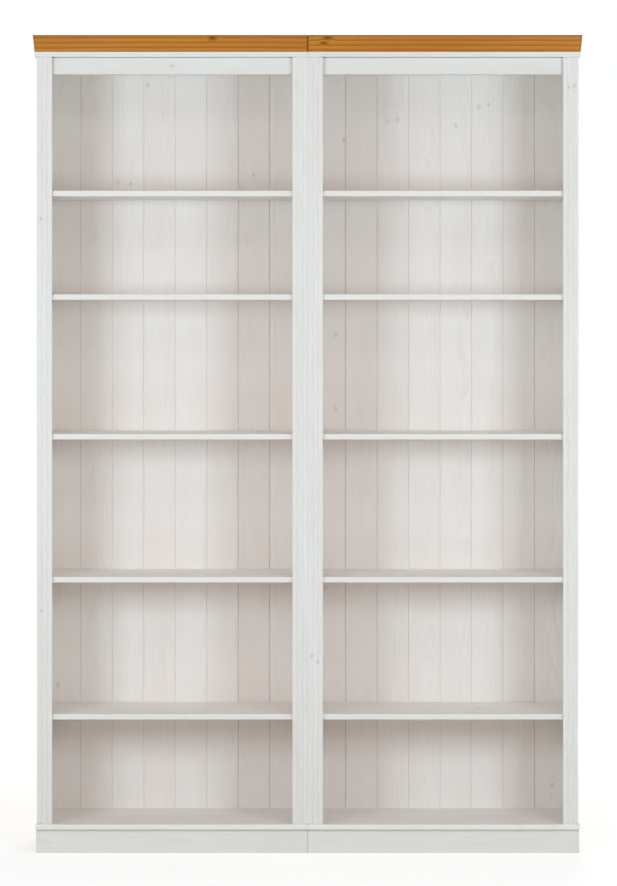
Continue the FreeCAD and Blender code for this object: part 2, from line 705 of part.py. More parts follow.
def make_back_nails():
    pattern = headed_rod("nail", "nail_diameter", "nail_length", "nail_head_diameter", "nail_head_height")
    heights = (f"{CASE_BOTTOM} - end_rebate / 2", f"{CASE_TOP} + end_rebate / 2")
    places = []
    for sign in UNITS.values():
        for number in range(SIZES["back_count"]):
            middle = f"{BACK_START} + ({number} + 0.5) * {BACK_PITCH} + back_shift"
            for half in (-1, 1):
                x = mirrored(sign, f"{middle} + {half} * nail_spread / 2")
                places += [(x, BACK_REAR, height, TO_FRONT) for height in heights]
    group("back_nails", pattern, places)


def make_connectors():
    # The heads are sunk flush, so that a shelf can pass them.
    seat = "(side_thickness - connector_head_height)"
    length = f"2 * {seat} - connector_slack"
    sleeve = headed_rod(
        "sleeve", "connector_diameter", length, "connector_head_diameter", "connector_head_height"
    )
    bore = cylinder("sleeve_bore", "connector_screw_diameter + fit_play", length)
    hollow = combine("Cut", "sleeve_hollow", sleeve, bore)
    group("connector_sleeves", hollow, [(f"-{seat}", y, z, TO_RIGHT) for y, z in CONNECTORS])
    screw = headed_rod(
        "connector_screw",
        "connector_screw_diameter",
        length,
        "connector_head_diameter",
        "connector_head_height",
    )
    group("connector_screws", screw, [(seat, y, z, TO_LEFT) for y, z in CONNECTORS])


def make_brackets():
    # Angle whose corner lies on the rear edge of the top board
    lying_corner = ("-bracket_width / 2", "-bracket_leg", "0")
    rising_corner = ("-bracket_width / 2", "-bracket_thickness", "0")
    lying = plate("lying_leg", "bracket_width", "bracket_leg", "bracket_thickness", lying_corner)
    rising = plate("rising_leg", "bracket_width", "bracket_thickness", "bracket_leg", rising_corner)
    angle = combine("Fuse", "bracket_angle", lying, rising)
    board_hole = cylinder("board_hole", "bracket_screw_diameter + fit_play", "bracket_thickness")
    bind(board_hole, "Placement.Base.y", "-bracket_hole_offset")
    wall_hole = cylinder("wall_hole", "bracket_hole_diameter", "bracket_thickness", "bracket_hole_offset")
    wall_hole.Placement.Rotation = TO_FRONT
    drilled = combine("Cut", "bracket_drilled", angle, board_hole)
    pattern = combine("Cut", "bracket_pattern", drilled, wall_hole)
    spots = [mirrored(sign, place) for sign in UNITS.values() for place in BRACKETS]
    group("wall_brackets", pattern, [(x, WALL, TOP_UPPER, UPWARD) for x in spots])
    screw = headed_rod(
        "bracket_screw",
        "bracket_screw_diameter",
        "bracket_screw_length",
        "bracket_screw_head_diameter",
        "bracket_screw_head_height",
    )
    height = f"{TOP_UPPER} + bracket_thickness"
    group("bracket_screws", screw, [(x, f"{WALL} - bracket_hole_offset", height, DOWNWARD) for x in spots])


def make_units():
    for unit, sign in UNITS.items():
        for place in PLACES:
            make_side(unit, sign, place)
            make_stile(unit, sign, place)
        make_base_board(unit, sign)
        make_top_board(unit, sign)
        make_frieze(unit, sign)
        make_plinth(unit, sign)
        make_cornice(unit, sign)
        for number in range(1, SHELF_COUNT + 1):
            make_shelf(unit, sign, number)
        for number in range(1, SIZES["back_count"] + 1):
            make_back_board(unit, sign, number)


def check_and_write():
    doc.recompute()
    for thing in doc.Objects:
        if "Invalid" in thing.State or "Error" in thing.State:
            raise RuntimeError(f"{thing.Label} failed: {thing.State}")
    for piece in pieces:
        if piece.Shape.isNull() or not piece.Shape.isValid():
            raise RuntimeError(f"{piece.Label} has no valid shape")
    os.makedirs("parts", exist_ok=True)
    for piece in pieces:
        piece.Shape.exportStep(f"parts/{piece.Label}.step")
    print(f"{len(pieces)} pieces, {sum(len(piece.Shape.Solids) for piece in pieces)} solids")


fill_sheet()
make_units()
make_shelf_pins()
make_dowels()
make_case_screws()
make_back_nails()
make_connectors()
make_brackets()
check_and_write()
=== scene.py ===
import bmesh
import bpy
import math
import random
from mathutils import Matrix, Vector


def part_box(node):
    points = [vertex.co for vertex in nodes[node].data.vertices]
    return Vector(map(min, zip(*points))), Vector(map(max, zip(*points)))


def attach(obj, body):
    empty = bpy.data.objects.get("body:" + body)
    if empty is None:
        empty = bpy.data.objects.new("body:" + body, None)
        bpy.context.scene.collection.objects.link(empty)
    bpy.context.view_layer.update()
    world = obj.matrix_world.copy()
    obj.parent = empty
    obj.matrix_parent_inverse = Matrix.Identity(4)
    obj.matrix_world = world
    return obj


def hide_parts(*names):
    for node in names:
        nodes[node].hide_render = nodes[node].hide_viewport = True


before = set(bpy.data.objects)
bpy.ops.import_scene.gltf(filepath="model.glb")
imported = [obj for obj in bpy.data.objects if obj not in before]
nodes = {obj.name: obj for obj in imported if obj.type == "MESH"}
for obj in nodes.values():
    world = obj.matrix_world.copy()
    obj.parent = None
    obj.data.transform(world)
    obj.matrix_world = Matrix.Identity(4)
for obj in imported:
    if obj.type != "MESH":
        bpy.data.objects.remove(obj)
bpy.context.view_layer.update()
mm = 0.001
weldGap = 0.001 * mm  # points closer than this are one
print("frame loaded with", len(nodes), "pieces")


def linear(hexColour):
    # sRGB hex to the linear colour that a shader takes
    channels = [int(hexColour[start:start + 2], 16) / 255 for start in (1, 3, 5)]
    return [c / 12.92 if c <= 0.04045 else ((c + 0.055) / 1.055) ** 2.4 for c in channels] + [1.0]


def addNode(tree, kind, inputs, **settings):
    node = tree.nodes.new("ShaderNode" + kind)
    for name, value in settings.items():
        setattr(node, name, value)
    for socket, value in inputs.items():
        if isinstance(value, bpy.types.NodeSocket):
            tree.links.new(value, node.inputs[socket])
        else:
            node.inputs[socket].default_value = value
    return node


def newMaterial(name):
    material = bpy.data.materials.new(name)
    material.use_nodes = True
    tree = material.node_tree
    tree.nodes.clear()
    shader = addNode(tree, "BsdfPrincipled", {})
    addNode(tree, "OutputMaterial", {"Surface": shader.outputs["BSDF"]})
    return material, tree, shader


def dress(node, material):
    slots = nodes[node].data.materials
    slots.clear()
    slots.append(material)


# Pine, sawn, planed and sanded, then stained white: the soft wood takes up the pigment, the hard
# ring lines stay a little warmer, and knots show through as grey smudges. Satin, hardly any shine.
whitePine = {
    "name": "white_stained_pine",
    "earlyWood": "#EFEFEA",
    "lateWood": "#E6E2D9",
    "blush": "#ECE9E3",  # broad patches with less pigment
    "fibre": "#E0DDD5",
    "knotRim": "#E3DED7",
    "knotHeart": "#CFC8BF",
    "ringWidth": 3.4,  # mm from one ring to the next
    "ringShare": 0.5,
    "fibreShare": 0.3,
    "fibreWidth": 1.6,  # mm, about three times the real one, so that it shows
    "fibreLength": 72,  # mm
    "wander": 30,  # mm, how far rings stray from a circle
    "pithAcross": (0, 40),  # mm from the middle of the board to the heart of the tree
    "pithDepth": (18, 60),
    "patchLean": 0.06,  # how far a board may lean towards one patch colour
    "knotReach": 2.6,  # how far rings bend round a knot, in knot radii
    "knotStretch": 1.4,  # length of a knot over its width
    "stainAndShadeEdges": (),  # edges in another colour, stain on some looks and painted shade on others: across or along the board, and which end
    "edgeShare": 0.7,  # how much of the edge colour shows right at the edge
    "edgeWidth": 14.0,  # mm, how far in it reaches
    "specular": 0.3,
    "roughness": (0.46, 0.6),
}

# The boards inside took less pigment and keep a rosy cast, some more than others
rosyPine = dict(
    whitePine,
    earlyWood="#F7F1EB",
    lateWood="#EDE3DA",
    blush="#F5EBE4",
    fibre="#E8DFD7",
    knotRim="#EAE3DC",
    knotHeart="#D9D0C8",
    patchLean=0.12,
)

# Back boards that get painted shade in the groove along their left edge, and how dark it is
shadedGrooveBoards = {
    "left_back_board_2": 0.3,
    "left_back_board_7": 0.45,
    "left_back_board_8": 0.45,
    "right_back_board_2": 0.7,
    "right_back_board_3": 0.2,
    "right_back_board_8": 0.3,
}
# painted shade: a dark line in the groove along the left edge of each listed back board
grooveShadePine = dict(rosyPine, stainAndShadeEdges=[("wide", "low")], edgeStainAndShade="#8C7868", edgeWidth=1.5)

# Shelves and floors, where the ring lines show most; their front edges were stained by hand
shelfPine = dict(
    rosyPine,
    earlyWood="#F8F6F1",
    lateWood="#EBE2D9",
    blush="#F5F0EA",
    ringShare=0.7,
    stainAndShadeEdges=[("wide", "low")],
    edgeStainAndShade="#ECECE5",
)
floorPine = dict(shelfPine, edgeStainAndShade="#F3F8EF")

# The rails under the top boards, a shade greyer
greyPine = dict(whitePine, earlyWood="#EAEBE5", lateWood="#E1DED4", blush="#E7E5DE", fibre="#DCD9D0")

# The same pine under a clear honey-coloured stain: amber soft wood, reddish brown bands where it was
# sawn across the rings, a darker top edge and darker ends, partly stain that the edges drank and partly
# painted shade where the rounded top and the mitred ends turn from the light, and resin-dark knots.
honeyPine = dict(
    whitePine,
    name="honey_stained_pine",
    earlyWood="#C98A2C",
    lateWood="#9C520C",
    blush="#C27F27",
    fibre="#A66018",
    knotRim="#9A5C10",
    knotHeart="#6C3A00",
    # top edge and both ends: stain the edges drank, and painted shade where they turn from the light
    stainAndShadeEdges=[("wide", "high"), ("long", "low"), ("long", "high")],
    edgeStainAndShade="#7E4610",
    ringWidth=13.0,
    ringShare=0.9,
    fibreShare=0.35,
    wander=9,
    pithAcross=(260, 320),
    pithDepth=(5, 20),
    knotStretch=2.2,
    edgeShare=0.75,
    edgeWidth=6.0,
    specular=0.2,
    roughness=(0.38, 0.5),
)

# How grain is drawn, the same under every stain
grain = {
    "strayAcross": 62.5,  # mm, size of the slow noise that leads the rings astray
    "strayAlong": 625,
    "patchAcross": 71.43,  # mm, size of the broad patches
    "patchAlong": 454.5,
    "patchSpan": (0.35, 0.7),  # part of the noise that makes a patch
    "fibreSpan": (0.45, 0.75),  # part of the noise that makes a fibre
    "lateNarrowing": 2.4,  # the higher, the thinner the ring lines
    "raggedWidth": 3.846,  # mm, teeth in the outline of a knot
    "raggedShare": 0.9,  # how deep they are, in knot radii
    "bendStart": 0.7,  # in knot radii, as are the next two
    "heartFade": (0.45, 1.3),
    "rimFade": (0.9, 2.3),
    "staveShift": (0.06, 0.03, 3.0),  # m, how far apart glued staves lay in their trees
    "treeLength": 9,  # m
    "relief": 0.1,  # mm, height of rings and fibres on the surface
    "reliefShare": 0.25,
}

# Places of knots on the faces towards the room: x, z and radius in mm
faceKnots = {
    "left_frieze_rail": [(-364, 2118, 5)],
    "left_outer_stile": [(-718, 1707, 4), (-716, 652, 4)],
    "right_inner_stile": [(11, 531, 4), (27, 515, 4)],
    "right_outer_stile": [(702, 2060, 3.5), (718, 2065, 3.5)],
    "left_back_board_4": [(-445, 2088, 6)],
    "left_back_board_3": [(-526, 1817, 4.5), (-492, 1814, 5)],
    "left_back_board_7": [(-150, 1839, 4.5)],
    "right_back_board_1": [(100, 1934, 5), (78, 1394, 5), (78, 1189, 5), (50, 691, 4)],
    "right_back_board_3": [(250, 1993, 5), (223, 1987, 4)],
    "right_back_board_5": [(412, 1976, 5)],
    "right_back_board_6": [(476, 2026, 5), (503, 2034, 4)],
    "left_back_board_1": [(-695, 421, 6)],
    "right_back_board_8": [(679, 143, 6)],
    "left_cornice_front": [(-256, 2192, 5)],
    "right_cornice_front": [(54, 2192, 5.5), (43, 2179, 4)],
}
scatter = {
    "panelStave": 62,  # mm, width of the staves in glued-up panels
    "panelKnots": 4,  # knots on a panel that the faces above don't list
    "knotRadius": (3.5, 6.0),  # mm
}


def boardKnots(node, low, high, across, along, rng):
    # Knots in metres: place across the board, place along it, radius
    if node in faceKnots:
        spots = [(Vector((x, 0, z)) * mm, radius * mm) for x, z, radius in faceKnots[node]]
        return [(spot[across], spot[along], radius) for spot, radius in spots]
    if "shelf" not in node and not node.endswith(("_side", "base_board", "top_board")):
        return []
    return [
        (rng.uniform(low[across], high[across]), rng.uniform(low[along], high[along]),
         rng.uniform(*scatter["knotRadius"]) * mm)
        for knot in range(scatter["panelKnots"])
    ]


def noiseScale(across, along):
    # Board coordinates times this give noise whose spots are this large, in mm
    return (1 / (across * mm), 1 / (across * mm), 1 / (along * mm))


def glueUp(tree, place, across, start, staveWidth):
    # A wide panel is glued up from staves, each from another tree
    count = addNode(tree, "MapRange", {
        "Value": across, "From Min": start, "From Max": start + staveWidth * mm,
    }, clamp=False).outputs[0]
    stave = addNode(tree, "Math", {0: count}, operation="FLOOR").outputs[0]
    lot = addNode(tree, "TexWhiteNoise", {"W": stave}, noise_dimensions="1D").outputs["Color"]
    shift = addNode(tree, "VectorMath", {0: lot, 1: grain["staveShift"]}, operation="MULTIPLY").outputs[0]
    return addNode(tree, "VectorMath", {0: place, 1: shift}, operation="ADD").outputs[0]


def ringRadius(tree, place, wander):
    # Distance from the heart of the tree, led astray by a slow noise
    slow = addNode(tree, "VectorMath", {
        0: place, 1: noiseScale(grain["strayAcross"], grain["strayAlong"]),
    }, operation="MULTIPLY").outputs[0]
    stray = addNode(tree, "TexNoise", {"Vector": slow, "Scale": 1.0, "Detail": 2.0}).outputs["Fac"]
    flat = addNode(tree, "VectorMath", {0: place, 1: (1, 1, 0)}, operation="MULTIPLY").outputs[0]
    radius = addNode(tree, "VectorMath", {0: flat}, operation="LENGTH").outputs["Value"]
    return addNode(tree, "Math", {0: stray, 1: wander * mm, 2: radius}, operation="MULTIPLY_ADD").outputs[0]


def growKnots(tree, board, radius, knots, look):
    # Bends the rings outwards round each knot, and gives the colour layers of its rim and heart
    ragged = addNode(tree, "TexNoise", {
        "Vector": board, "Scale": 1 / (grain["raggedWidth"] * mm), "Detail": 2.0,
    }).outputs["Fac"]
    rims = []
    hearts = []
    for knotAcross, knotAlong, knotRadius in knots:
        middle = (knotAcross, 0, knotAlong)
        reach = 1 / knotRadius
        away = addNode(tree, "VectorMath", {0: board, 1: middle}, operation="SUBTRACT").outputs[0]
        squeeze = (reach, 0, reach / look["knotStretch"])
        oval = addNode(tree, "VectorMath", {0: away, 1: squeeze}, operation="MULTIPLY").outputs[0]
        span = addNode(tree, "VectorMath", {0: oval}, operation="LENGTH").outputs["Value"]
        span = addNode(tree, "Math", {
            0: ragged, 1: grain["raggedShare"], 2: span,
        }, operation="MULTIPLY_ADD").outputs[0]
        bend = addNode(tree, "MapRange", {
            "Value": span, "From Min": grain["bendStart"],
            "From Max": look["knotReach"] + grain["raggedShare"] / 2,
            "To Min": knotRadius, "To Max": 0.0,
        }, interpolation_type="SMOOTHSTEP").outputs[0]
        radius = addNode(tree, "Math", {0: radius, 1: bend}, operation="ADD").outputs[0]
        for layers, name, (inner, outer) in (
            (hearts, "knotHeart", grain["heartFade"]),
            (rims, "knotRim", grain["rimFade"]),
        ):
            share = addNode(tree, "MapRange", {
                "Value": span, "From Min": inner, "From Max": outer, "To Min": 1.0, "To Max": 0.0,
            }, interpolation_type="SMOOTHSTEP").outputs[0]
            layers.append((share, name))
    return radius, rims + hearts


def pine(node, look, staveWidth=0):
    # Rings round the heart of the tree, so that the ends of a board show their arcs
    rng = random.Random(node)
    low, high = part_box(node)
    size = high - low
    centre = (low + high) / 2
    thin, wide, long = sorted(range(3), key=lambda axis: size[axis])
    material, tree, shader = newMaterial(f"{look['name']}.{node}")
    axes = addNode(tree, "SeparateXYZ", {0: addNode(tree, "TexCoord", {}).outputs["Object"]}).outputs
    board = addNode(tree, "CombineXYZ", {0: axes[wide], 1: axes[thin], 2: axes[long]}).outputs[0]
    heart = Vector((
        rng.choice((-1, 1)) * rng.uniform(*look["pithAcross"]) * mm - centre[wide],
        rng.choice((-1, 1)) * rng.uniform(*look["pithDepth"]) * mm - centre[thin],
        rng.uniform(0, grain["treeLength"]),
    ))
    place = addNode(tree, "VectorMath", {0: board, 1: heart}, operation="ADD").outputs[0]
    if staveWidth:
        place = glueUp(tree, place, axes[wide], low[wide], staveWidth)
    radius = ringRadius(tree, place, look["wander"])
    knots = boardKnots(node, low, high, wide, long, rng)
    radius, knotLayers = growKnots(tree, board, radius, knots, look)

    # Broad patches under ring lines, fibres, knots, and edge colours of stain and painted shade
    patches = addNode(tree, "VectorMath", {
        0: place, 1: noiseScale(grain["patchAcross"], grain["patchAlong"]),
    }, operation="MULTIPLY").outputs[0]
    patch = addNode(tree, "TexNoise", {"Vector": patches, "Scale": 1.0, "Detail": 1.0}).outputs["Fac"]
    lean = rng.uniform(-look["patchLean"], look["patchLean"])
    patchStart, patchFull = grain["patchSpan"]
    patch = addNode(tree, "MapRange", {
        "Value": patch, "From Min": patchStart + lean, "From Max": patchFull + lean,
    }).outputs[0]
    colour = addNode(tree, "Mix", {
        0: patch, 6: linear(look["earlyWood"]), 7: linear(look["blush"]),
    }, data_type="RGBA").outputs[2]
    turns = addNode(tree, "Math", {0: radius, 1: look["ringWidth"] * mm}, operation="DIVIDE").outputs[0]
    part = addNode(tree, "Math", {0: turns}, operation="FRACT").outputs[0]
    late = addNode(tree, "Math", {0: part, 1: grain["lateNarrowing"]}, operation="POWER").outputs[0]
    late = addNode(tree, "Math", {0: late, 1: look["ringShare"]}, operation="MULTIPLY").outputs[0]
    threads = addNode(tree, "VectorMath", {
        0: place, 1: noiseScale(look["fibreWidth"], look["fibreLength"]),
    }, operation="MULTIPLY").outputs[0]
    fibre = addNode(tree, "TexNoise", {"Vector": threads, "Scale": 1.0, "Detail": 3.0}).outputs["Fac"]
    fibreStart, fibreFull = grain["fibreSpan"]
    thread = addNode(tree, "MapRange", {
        "Value": fibre, "From Min": fibreStart, "From Max": fibreFull, "To Max": look["fibreShare"],
    }).outputs[0]
    layers = [(late, "lateWood"), (thread, "fibre")] + knotLayers
    # Edge colours: stain, and painted shade along the cornice's top and ends and in the grooves of the
    # listed back boards
    for way, end in look["stainAndShadeEdges"]:
        axis = wide if way == "wide" else long
        edge, step = (low[axis], 1) if end == "low" else (high[axis], -1)
        fade = addNode(tree, "MapRange", {
            "Value": axes[axis], "From Min": edge, "From Max": edge + step * look["edgeWidth"] * mm,
            "To Min": look["edgeShare"], "To Max": 0.0,
        }, interpolation_type="SMOOTHSTEP").outputs[0]
        layers.append((fade, "edgeStainAndShade"))
    for share, name in layers:
        colour = addNode(tree, "Mix", {
            0: share, 6: colour, 7: linear(look[name]),
        }, data_type="RGBA").outputs[2]
    tree.links.new(colour, shader.inputs["Base Color"])

    # Sheen and relief follow the fibres and the ring lines
    smooth, rough = look["roughness"]
    gloss = addNode(tree, "MapRange", {"Value": fibre, "To Min": smooth, "To Max": rough}).outputs[0]
    tree.links.new(gloss, shader.inputs["Roughness"])
    shader.inputs["Specular IOR Level"].default_value = look["specular"]
    relief = addNode(tree, "Math", {0: late, 1: fibre}, operation="ADD").outputs[0]
    bump = addNode(tree, "Bump", {
        "Strength": grain["reliefShare"], "Distance": grain["relief"] * mm, "Height": relief,
    }).outputs[0]
    tree.links.new(bump, shader.inputs["Normal"])
    return material


for node in sorted(nodes):
    if "cornice" in node:
        dress(node, pine(node, honeyPine))
    elif node in shadedGrooveBoards:
        dress(node, pine(node, dict(grooveShadePine, edgeShare=shadedGrooveBoards[node])))
    elif "back_board" in node:
        dress(node, pine(node, rosyPine))
    elif node.endswith("inner_side") and "plinth" not in node:
        dress(node, pine(node, rosyPine, scatter["panelStave"]))
    elif "_shelf_" in node:
        dress(node, pine(node, shelfPine, scatter["panelStave"]))
    elif node.endswith("base_board"):
        dress(node, pine(node, floorPine, scatter["panelStave"]))
    elif node.endswith(("outer_side", "top_board")) and "plinth" not in node:
        dress(node, pine(node, whitePine, scatter["panelStave"]))
    elif node.endswith("frieze_rail"):
        dress(node, pine(node, greyPine))
    elif node.startswith(("left_", "right_")):
        dress(node, pine(node, whitePine))
print("boards dressed")


# Beech rod, turned and left bare: pinkish tan with short darker flecks
beech = {
    "wood": "#D8B48C", "fleck": "#B98A5E", "fleckWidth": 0.9, "fleckSpan": (0.52, 0.72),
    "roughness": 0.62, "relief": 0.1, "reliefShare": 0.3,
}


def bareBeech():
    material, tree, shader = newMaterial("bare_beech")
    place = addNode(tree, "TexCoord", {}).outputs["Object"]
    fleck = addNode(tree, "TexNoise", {
        "Vector": place, "Scale": 1 / (beech["fleckWidth"] * mm), "Detail": 2.0,
    }).outputs["Fac"]
    start, full = beech["fleckSpan"]
    share = addNode(tree, "MapRange", {"Value": fleck, "From Min": start, "From Max": full}).outputs[0]
    colour = addNode(tree, "Mix", {
        0: share, 6: linear(beech["wood"]), 7: linear(beech["fleck"]),
    }, data_type="RGBA").outputs[2]
    tree.links.new(colour, shader.inputs["Base Color"])
    shader.inputs["Roughness"].default_value = beech["roughness"]
    bump = addNode(tree, "Bump", {
        "Strength": beech["reliefShare"], "Distance": beech["relief"] * mm, "Height": share,
    }).outputs[0]
    tree.links.new(bump, shader.inputs["Normal"])
    return material


# Steel under a bright nickel coat: warm silver, smooth and faintly clouded
nickel = {
    "name": "nickel_plated_steel", "coat": "#CFC8BA", "cloud": "#B9B1A2",
    "cloudWidth": 2.5, "grit": 0.35, "roughness": (0.2, 0.34), "relief": 0.05, "reliefShare": 0.2,
}
# Steel under zinc: bluish grey, mottled and a little dull
zinc = {
    "name": "zinc_plated_steel", "coat": "#C2C7CC", "cloud": "#A2A9B1",
    "cloudWidth": 4.0, "grit": 0.5, "roughness": (0.34, 0.5), "relief": 0.05, "reliefShare": 0.2,
}


def platedSteel(look):
    material, tree, shader = newMaterial(look["name"])
    place = addNode(tree, "TexCoord", {}).outputs["Object"]
    cloud = addNode(tree, "TexNoise", {
        "Vector": place, "Scale": 1 / (look["cloudWidth"] * mm), "Detail": 3.0,
    }).outputs["Fac"]
    grit = addNode(tree, "TexNoise", {
        "Vector": place, "Scale": 1 / (look["grit"] * mm), "Detail": 2.0,
    }).outputs["Fac"]
    colour = addNode(tree, "Mix", {
        0: cloud, 6: linear(look["coat"]), 7: linear(look["cloud"]),
    }, data_type="RGBA").outputs[2]
    tree.links.new(colour, shader.inputs["Base Color"])
    shader.inputs["Metallic"].default_value = 1.0
    smooth, rough = look["roughness"]
    gloss = addNode(tree, "MapRange", {"Value": grit, "To Min": smooth, "To Max": rough}).outputs[0]
    tree.links.new(gloss, shader.inputs["Roughness"])
    bump = addNode(tree, "Bump", {
        "Strength": look["reliefShare"], "Distance": look["relief"] * mm, "Height": grit,
    }).outputs[0]
    tree.links.new(bump, shader.inputs["Normal"])
    return material


nickelSteel = platedSteel(nickel)
zincSteel = platedSteel(zinc)
dress("wood_dowels", bareBeech())
dress("wall_brackets", zincSteel)
print("metals and dowels dressed")


hardware = {
    "endGap": 0.01,  # mm, points this close to the end of a solid lie on it
    "sharpAngle": 35,  # degrees, edges that turn more stay sharp
}


def solidSeats(node):
    # One matrix for each solid of a node: +Z runs from its head, the wider end, to its tip,
    # and +Y stays upright or level with the wall
    bm = bmesh.new()
    bm.from_mesh(nodes[node].data)
    bmesh.ops.remove_doubles(bm, verts=bm.verts, dist=weldGap)
    endGap = hardware["endGap"] * mm
    seats = []
    left = set(bm.verts)
    while left:
        front = [left.pop()]
        points = []
        while front:
            vert = front.pop()
            points.append(vert.co.copy())
            near = {edge.other_vert(vert) for edge in vert.link_edges} & left
            left -= near
            front += near
        low = Vector([min(point[axis] for point in points) for axis in range(3)])
        high = Vector([max(point[axis] for point in points) for axis in range(3)])
        middle = (low + high) / 2
        long = max(range(3), key=lambda axis: (high - low)[axis])
        spread = {}
        for end in (low[long], high[long]):
            around = [point - middle for point in points if abs(point[long] - end) < endGap]
            for offset in around:
                offset[long] = 0
            spread[end] = max(offset.length for offset in around)
        head = max(spread, key=spread.get)
        ahead = Vector((0, 0, 0))
        ahead[long] = -1 if head == high[long] else 1
        upright = Vector((0, 1, 0)) if long == 2 else Vector((0, 0, 1))
        start = middle.copy()
        start[long] = head
        turn = Matrix((upright.cross(ahead), upright, ahead)).transposed().to_4x4()
        seats.append(Matrix.Translation(start) @ turn)
    bm.free()
    return sorted(seats, key=lambda seat: tuple(round(value, 4) for value in seat.translation))


def scatterPiece(name, pattern, node, material):
    # Sets a copy of the pattern on each solid of a node and lets it stand for the node
    part = bpy.data.meshes.new(f"{name}_pattern")
    pattern.to_mesh(part)
    pattern.free()
    bm = bmesh.new()
    for seat in solidSeats(node):
        count = len(bm.verts)
        bm.from_mesh(part)
        bm.verts.ensure_lookup_table()
        bmesh.ops.transform(bm, matrix=seat, verts=bm.verts[count:])
    mesh = bpy.data.meshes.new(name)
    bm.to_mesh(mesh)
    bm.free()
    bpy.data.meshes.remove(part)
    mesh.materials.append(material)
    mesh.shade_smooth()
    mesh.set_sharp_from_angle(angle=math.radians(hardware["sharpAngle"]))
    piece = bpy.data.objects.new(name, mesh)
    bpy.context.scene.collection.objects.link(piece)
    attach(piece, "case")
    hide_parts(node)


def turned(profile, steps):
    # Turned piece from radius and height pairs in mm, along +Z
    bm = bmesh.new()
    verts = [bm.verts.new((radius * mm, 0, height * mm)) for radius, height in profile]
    edges = [bm.edges.new(pair) for pair in zip(verts, verts[1:])]
    bmesh.ops.spin(
        bm, geom=verts + edges, cent=(0, 0, 0), axis=(0, 0, 1),
        angle=2 * math.pi, steps=steps, use_merge=True,
    )
    bmesh.ops.remove_doubles(bm, verts=bm.verts, dist=weldGap)
    return bm


crossRecess = {"cells": 6, "taper": 0.6}  # the arms are two cells wide and narrow towards the bottom


def cutRecess(bm, span, depth, level):
    # Closes the open rim of a head with a small grid whose cross-shaped middle is pressed in
    rim = [edge for edge in bm.edges if edge.is_boundary]
    cells = crossRecess["cells"]
    grid = bmesh.ops.create_grid(bm, x_segments=cells, y_segments=cells, size=span / 2 * mm)["verts"]
    bmesh.ops.translate(bm, verts=grid, vec=(0, 0, level * mm))
    faces = {face for vert in grid for face in vert.link_faces}
    border = [edge for face in faces for edge in face.edges if edge.is_boundary]
    bmesh.ops.bridge_loops(bm, edges=rim + border)
    arm = span / cells * mm
    cross = [
        face for face in faces
        if min(abs(face.calc_center_median().x), abs(face.calc_center_median().y)) < arm
    ]
    pressed = bmesh.ops.extrude_face_region(bm, geom=cross)["geom"]
    bmesh.ops.delete(bm, geom=cross, context="FACES")
    bottom = [item for item in pressed if isinstance(item, bmesh.types.BMVert)]
    bmesh.ops.translate(bm, verts=bottom, vec=(0, 0, depth * mm))
    bmesh.ops.scale(bm, vec=(crossRecess["taper"], crossRecess["taper"], 1), verts=bottom)
    bmesh.ops.recalc_face_normals(bm, faces=bm.faces)


# Cross-head screws, in mm, with the head at the start of the profile
caseScrew = {
    "profile": [(3.6, 0), (4.7, 0.3), (5, 0.8), (5, 2.6), (2.6, 4), (2.5, 47), (1.2, 52), (0, 54)],
    "recess": (4.8, 2.2), "steps": 24,
}
bracketScrew = {
    "profile": [
        (2.8, 0), (3.5, 0.4), (3.95, 1.3), (4, 2.3), (3.9, 2.5), (2, 2.5), (2, 11.5), (0.8, 13.8), (0, 14.5),
    ],
    "recess": (3.8, 1.5), "steps": 24,
}
# Sleeve nut and screw that pull the two units together; their heads lie flush
sleeve = {
    "profile": [
        (5, 0.2), (6.6, 0.2), (7, 0.6), (7, 2), (4, 2), (4, 31.6), (3.6, 32), (2.6, 32), (2.6, 6), (0, 6),
    ],
    "recess": (5.6, 1.6), "steps": 24,
}
connectorScrew = {
    "profile": [(5, 0.2), (6.6, 0.2), (7, 0.6), (7, 2), (2.5, 2), (2.5, 31), (1.9, 32), (0, 32)],
    "recess": (5.6, 1.6), "steps": 24,
}
wireNail = {
    "profile": [(0, 0), (1.4, 0.1), (1.7, 0.35), (1.6, 0.8), (0.8, 0.95), (0.8, 20.5), (0, 22.8)],
    "steps": 10,
}
for name, look, node, material, slotName in (
    ("cross_head_case_screws", caseScrew, "case_screws", zincSteel, "zinc_plated_steel"),
    ("cross_head_bracket_screws", bracketScrew, "bracket_screws", zincSteel, "zinc_plated_steel"),
    ("sleeve_nuts", sleeve, "connector_sleeves", nickelSteel, "nickel_plated_steel"),
    ("cross_head_connectors", connectorScrew, "connector_screws", nickelSteel, "nickel_plated_steel"),
):
    pattern = turned(look["profile"], look["steps"])
    cutRecess(pattern, *look["recess"], look["profile"][0][1])
    scatterPiece(name, pattern, node, material)
nail = turned(wireNail["profile"], wireNail["steps"])
bmesh.ops.recalc_face_normals(nail, faces=nail.faces)
scatterPiece("wire_nails", nail, "back_nails", zincSteel)
print("screws, connectors and nails made")

# Shelf pin pressed from one blank: a flat tab that carries the shelf, a collar against the side and
# a round peg
shelfPin = {
    "tab": (9, 3, 9),  # mm, width, thickness, reach
    "tabBevel": 0.7,
    "peg": [(0, 8.3), (3.1, 8.3), (3.4, 8.6), (3.4, 9), (2.5, 9), (2.5, 17.2), (1.9, 18), (0, 18)],
    "steps": 16,
}


def pressedPin():
    bm = turned(shelfPin["peg"], shelfPin["steps"])
    width, thickness, reach = shelfPin["tab"]
    tab = bmesh.ops.create_cube(bm, size=1.0)["verts"]
    bmesh.ops.scale(bm, vec=(width * mm, thickness * mm, reach * mm), verts=tab)
    bmesh.ops.translate(bm, vec=(0, 0, reach / 2 * mm), verts=tab)
    edges = {edge for vert in tab for edge in vert.link_edges}
    bmesh.ops.bevel(
        bm, geom=list(edges), offset=shelfPin["tabBevel"] * mm, offset_type="OFFSET",
        affect="EDGES", segments=3, profile=0.5, material=-1,
    )
    bmesh.ops.recalc_face_normals(bm, faces=bm.faces)
    return bm


scatterPiece("pressed_shelf_pins", pressedPin(), "shelf_pins", nickelSteel)
print("shelf pins made")


